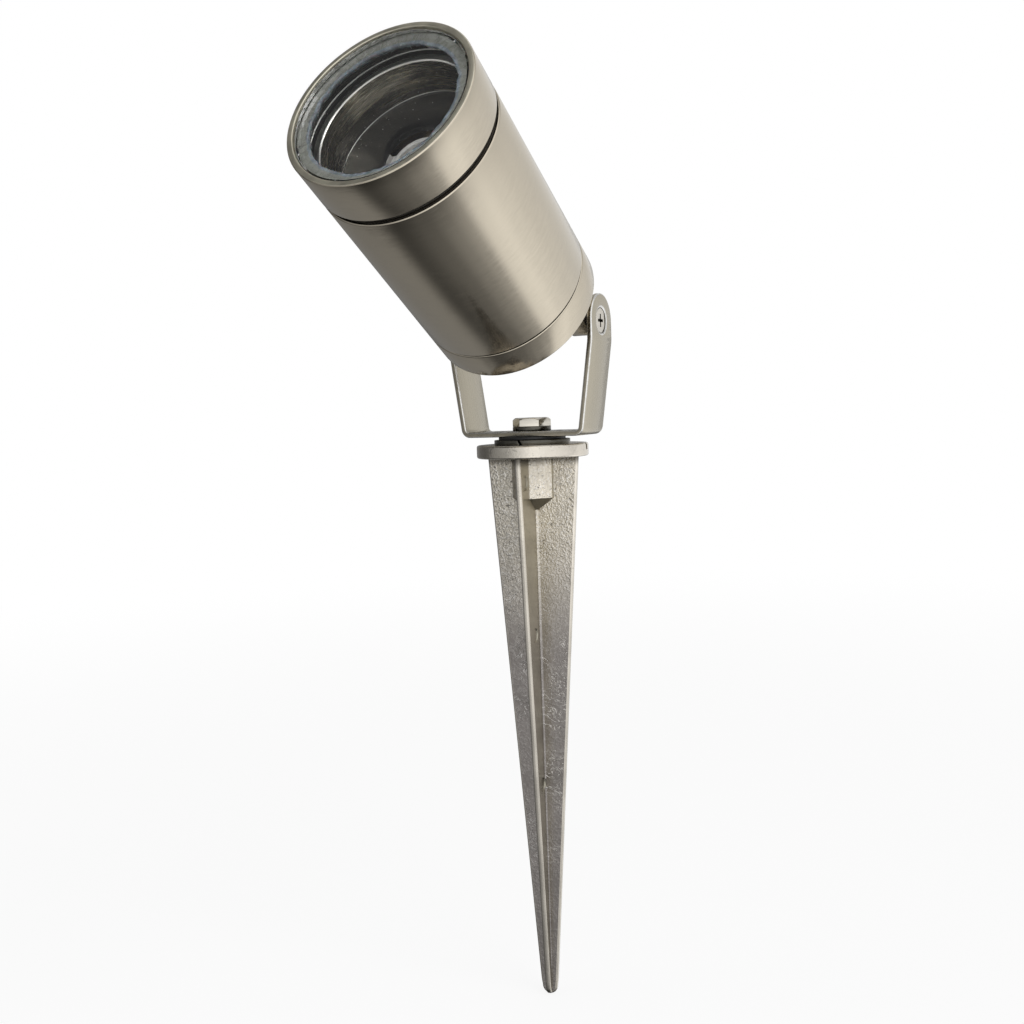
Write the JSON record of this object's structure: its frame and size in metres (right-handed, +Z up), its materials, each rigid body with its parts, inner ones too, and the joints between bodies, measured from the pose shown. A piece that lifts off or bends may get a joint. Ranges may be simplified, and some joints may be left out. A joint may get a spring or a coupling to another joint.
{
  "type": "garden spike spotlight",
  "caption": "Round metal garden spotlight for a flat bi-pin lamp, tilting in a U-shaped yoke that swivels on a cast four-finned ground spike; glass front cap unscrews.",
  "frame": {"origin": "middle of the spike flange's underside, level with the ground when the spike is pushed in", "axes": "+Z up the spike, X along the tilt pivot, head pointing to -Y and up"},
  "size_m": [0.064, 0.1377, 0.3556],
  "materials": {
    "head_steel": "fine turned brushing",
    "yoke_steel": "satin",
    "fastener_steel": "bright",
    "cast_metal": "rough as cast",
    "clear_glass": "polished",
    "silicone": "translucent",
    "black_rubber": "matte",
    "black_plate": "gloss black",
    "black_nylon": "matte",
    "white_ceramic": "satin",
    "white_nylon": "satin",
    "contact_brass": "satin",
    "spring_steel": "oiled",
    "lead_sleeve": "woven sleeve"
  },
  "bodies": {
    "spike_base": {"spike": "cast_metal", "spring_ring": "fastener_steel", "swivel_bolt": "fastener_steel", "spring_washer": "fastener_steel"},
    "yoke_arm": {"yoke": "yoke_steel", "swivel_washer": "black_rubber", "pivot_screws": "fastener_steel", "pivot_washers": "black_nylon"},
    "head": {"body_tube": "head_steel", "rear_cap": "head_steel", "front_seal": "black_rubber", "rear_seal": "black_rubber", "lamp_plate": "black_plate", "plate_circlip": "spring_steel", "lampholder": "white_ceramic", "lampholder_contacts": "contact_brass", "holder_screws": "fastener_steel", "lamp_leads": "lead_sleeve", "terminal_block": "white_nylon", "terminal_clamps": "contact_brass", "terminal_screws": "fastener_steel", "terminal_bracket": "fastener_steel", "bracket_screws": "fastener_steel", "gland_body": "head_steel", "gland_o_ring": "black_rubber", "gland_seal": "black_rubber", "gland_nut": "head_steel"},
    "lens_unit": {"lens_glass": "clear_glass", "lens_sealant": "silicone"},
    "front_ring": {"front_cap": "head_steel"}
  },
  "joints": [
    {"name": "yoke_swivel", "type": "hinge", "parent": "spike_base", "child": "yoke_arm", "pos_m": [0, 0, 0.009], "axis": [0, 0, 1], "range_deg": [-180, 180]},
    {"name": "head_tilt", "type": "hinge", "parent": "yoke_arm", "child": "head", "pos_m": [0, 0, 0.0503], "axis": [-1, 0, 0], "range_deg": [-40, 150]},
    {"name": "cap_travel", "type": "slide", "parent": "head", "child": "lens_unit", "axis": [0, -0.8517, 0.524], "range_m": [0, 0.0045]},
    {"name": "cap_turn", "type": "hinge", "parent": "lens_unit", "child": "front_ring", "pos_m": [0, -0.08602, 0.10322], "axis": [0, -0.8517, 0.524], "range_deg": [0, 1080]}
  ],
  "couplings": [
    {"joint": "cap_turn", "follows": "cap_travel", "rad_per_m": 4188.8}
  ]
}
